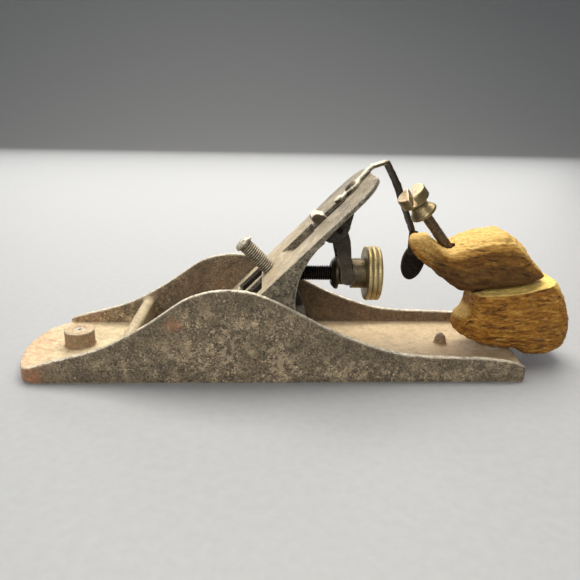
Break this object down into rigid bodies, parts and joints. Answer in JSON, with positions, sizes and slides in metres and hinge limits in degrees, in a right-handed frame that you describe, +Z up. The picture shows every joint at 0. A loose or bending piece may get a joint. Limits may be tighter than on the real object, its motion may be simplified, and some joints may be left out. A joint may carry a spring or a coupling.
{
  "type": "bench plane",
  "caption": "Metal bench plane, smoothing size, without iron, lever cap and front knob: adjustable frog, brass depth wheel, lateral lever and a broken wooden tote on its rod.",
  "frame": {"origin": "middle of the sole's underside", "axes": "+X from the toe to the heel, +Z up out of the sole, +Y to the user's left when pushing toe first"},
  "size_m": [0.2601, 0.061, 0.0943],
  "materials": {
    "sole_iron": "aged, patinated, worn bright on the edges",
    "frog_iron": "aged, thin old finish, light rust",
    "dark_steel": "blackened and lightly rusted",
    "lever_steel": "aged, brown patina",
    "screw_steel": "aged, worn head",
    "wheel_brass": "tarnished, dull",
    "nut_brass": "tarnished, worn on the edges",
    "rod_steel": "rusted",
    "tote_wood": "bare, weathered, open grain"
  },
  "bodies": {
    "casting": {"body_casting": "sole_iron", "knob_stud_stub": "dark_steel", "frog_screw_left": "dark_steel", "frog_screw_right": "dark_steel", "frog_washer_left": "dark_steel", "frog_washer_right": "dark_steel", "tote_rod": "rod_steel", "tote_lower": "tote_wood"},
    "frog": {"frog_casting": "frog_iron", "adjusting_stud": "dark_steel", "yoke_pin": "dark_steel", "lateral_rivet": "lever_steel"},
    "cap_screw": {"lever_cap_screw": "screw_steel"},
    "yoke": {"yoke": "dark_steel"},
    "collar": {"nut_collar": "wheel_brass"},
    "wheel": {"adjusting_wheel": "wheel_brass"},
    "lever": {"lateral_lever": "lever_steel", "thumb_piece": "lever_steel", "thumb_rivet": "lever_steel"},
    "nut": {"tote_nut": "nut_brass"},
    "tote_top": {"tote_upper": "tote_wood"}
  },
  "joints": [
    {"name": "frog_slide", "type": "slide", "parent": "casting", "child": "frog", "axis": [1, 0, 0], "range_m": [-0.0015, 0.0025]},
    {"name": "wheel_spin", "type": "hinge", "parent": "collar", "child": "wheel", "pos_m": [0.0458, 0, 0.042], "axis": [1, 0, 0], "range_deg": [-1520, 1520]},
    {"name": "nut_travel", "type": "slide", "parent": "frog", "child": "collar", "axis": [1, 0, 0], "range_m": [-0.0046, 0.0046]},
    {"name": "yoke_swing", "type": "hinge", "parent": "frog", "child": "yoke", "pos_m": [0.028, 0, 0.0655], "axis": [0, 1, 0], "range_deg": [-11.2, 11.2]},
    {"name": "lateral_swing", "type": "hinge", "parent": "frog", "child": "lever", "pos_m": [0.03432, 0, 0.08224], "axis": [-0.7071, 0, 0.7071], "range_deg": [-10, 8]},
    {"name": "cap_screw_turn", "type": "hinge", "parent": "frog", "child": "cap_screw", "pos_m": [-0.00817, 0, 0.04964], "axis": [-0.7071, 0, 0.7071], "range_deg": [-360, 360]},
    {"name": "tote_nut_turn", "type": "hinge", "parent": "casting", "child": "nut", "pos_m": [0.1073, 0.0005, 0.022], "axis": [-0.626, -0.1051, 0.7727], "range_deg": [-360, 360]},
    {"name": "tote_upper_slide", "type": "slide", "parent": "casting", "child": "tote_top", "axis": [-0.626, -0.1051, 0.7727], "range_m": [0, 0.004]}
  ],
  "couplings": [
    {"joint": "nut_travel", "follows": "wheel_spin", "m_per_rad": 0.0001687},
    {"joint": "yoke_swing", "follows": "wheel_spin", "ratio": -0.0071789}
  ]
}
